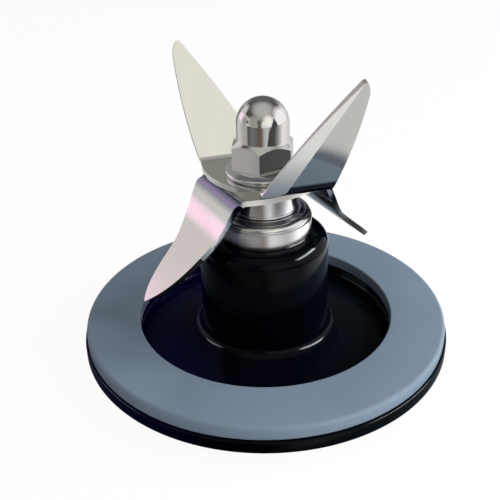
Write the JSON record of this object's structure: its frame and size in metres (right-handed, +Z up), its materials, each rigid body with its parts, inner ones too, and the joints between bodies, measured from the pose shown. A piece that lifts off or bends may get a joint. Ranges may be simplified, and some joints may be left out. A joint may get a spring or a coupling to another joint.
{
  "type": "blender blade assembly",
  "caption": "Jar base blade unit for a kitchen blender: black moulded base with basin and tall hub, grey gasket, steel bearing cup, dome nut and crossed bent blades that spin.",
  "frame": {"origin": "on the spin axis, in the plane of the foot ring under the base", "axes": "+Z up along the spin axis; the picture looks along +Y with X to its right"},
  "size_m": [0.0876, 0.0876, 0.0699],
  "materials": {
    "base_black": "gloss black moulded plastic",
    "gasket_grey": "satin slate grey silicone",
    "cup_steel": "turned and polished stainless steel",
    "collar_steel": "bright turned stainless steel",
    "blade_steel": "polished stainless sheet",
    "nut_steel": "mirror polished steel",
    "plain_steel": "plain machined steel",
    "coupling_steel": "dark sintered steel",
    "bush_bronze": "sintered bronze",
    "seal_rubber": "black rubber"
  },
  "bodies": {
    "base": {"base_moulding": "base_black", "jar_gasket": "gasket_grey", "bearing_cup": "cup_steel", "cup_o_ring": "seal_rubber", "cup_nut": "plain_steel", "lower_bush": "bush_bronze", "upper_bush": "bush_bronze", "shaft_seal": "seal_rubber"},
    "rotor": {"drive_shaft": "plain_steel", "thrust_washer_top": "plain_steel", "thrust_washer_low": "plain_steel", "shaft_clip": "plain_steel", "drive_coupling": "coupling_steel", "blade_collar": "collar_steel", "lower_blade": "blade_steel", "upper_blade": "blade_steel", "blade_washer": "collar_steel", "dome_nut": "nut_steel"}
  },
  "joints": [
    {"name": "blade_spin", "type": "hinge", "parent": "base", "child": "rotor", "pos_m": [0, 0, 0], "axis": [0, 0, 1], "continuous": true}
  ]
}
